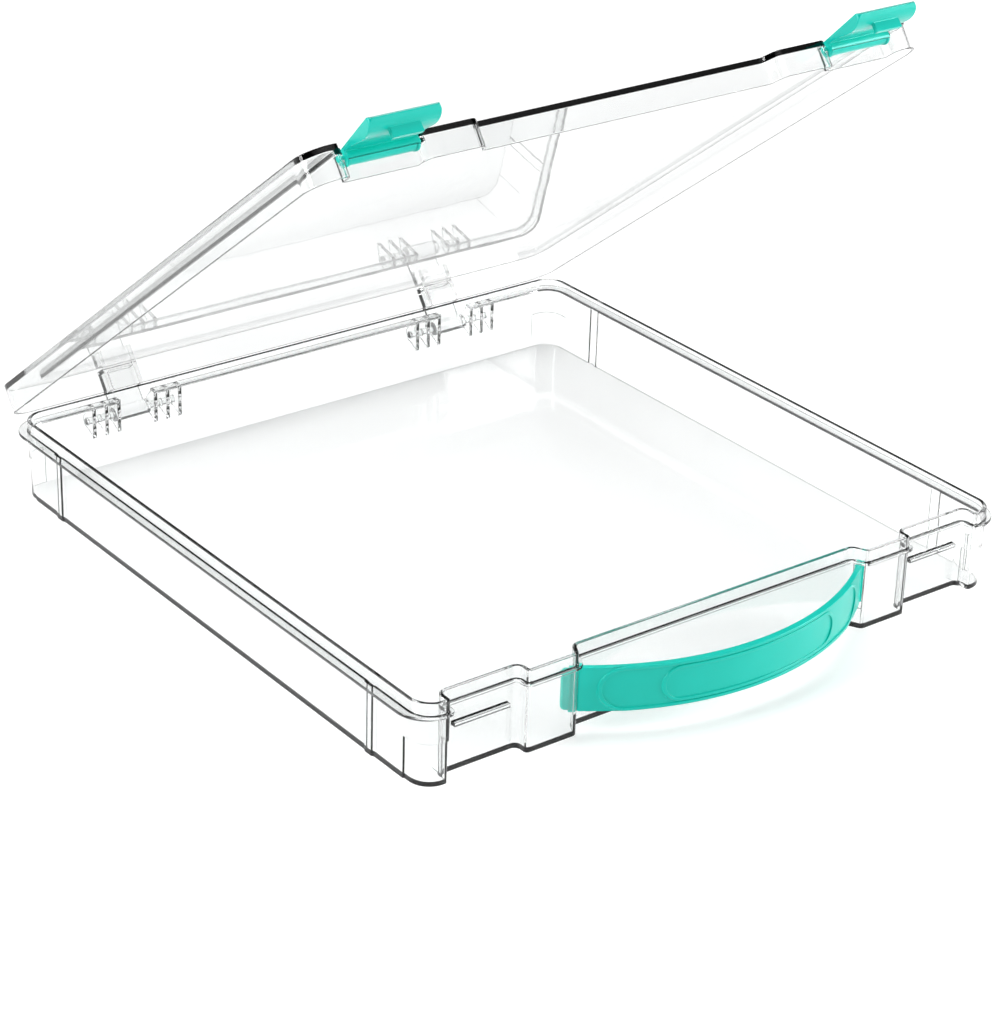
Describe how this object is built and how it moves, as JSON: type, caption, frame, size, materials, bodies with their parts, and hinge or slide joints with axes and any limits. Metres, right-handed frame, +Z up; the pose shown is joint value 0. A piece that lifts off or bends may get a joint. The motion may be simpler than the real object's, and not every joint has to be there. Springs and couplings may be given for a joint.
{
  "type": "board game storage case",
  "caption": "Clear square storage case with a hinged lid that stands open, swing latches and a bowed strap handle at the front.",
  "frame": {"origin": "centre of the tray's outline on its underside, where it rests", "axes": "+X to the right seen from the front, +Y from the handle to the hinges, +Z up; the lid stands open"},
  "size_m": [0.345, 0.3943, 0.276],
  "materials": {
    "clear": "clear, polished",
    "teal": "satin"
  },
  "bodies": {
    "tray": {"tray": "clear"},
    "lid": {"lid": "clear"},
    "latch_left": {"latch_left": "teal"},
    "latch_right": {"latch_right": "teal"},
    "handle": {"handle": "teal"}
  },
  "joints": [
    {"name": "lid_hinge", "type": "hinge", "parent": "tray", "child": "lid", "pos_m": [0, 0.1795, 0.025], "axis": [-1, 0, 0], "range_deg": [-37.4, 128]},
    {"name": "latch_left_hinge", "type": "hinge", "parent": "lid", "child": "latch_left", "pos_m": [-0.133, -0.08713, 0.25359], "axis": [-1, 0, 0], "range_deg": [-96, 60]},
    {"name": "latch_right_hinge", "type": "hinge", "parent": "lid", "child": "latch_right", "pos_m": [0.133, -0.08713, 0.25359], "axis": [-1, 0, 0], "range_deg": [-93.5, 60]},
    {"name": "handle_slide", "type": "slide", "parent": "tray", "child": "handle", "axis": [0, -1, 0], "range_m": [-0.0006, 0.0012]}
  ]
}
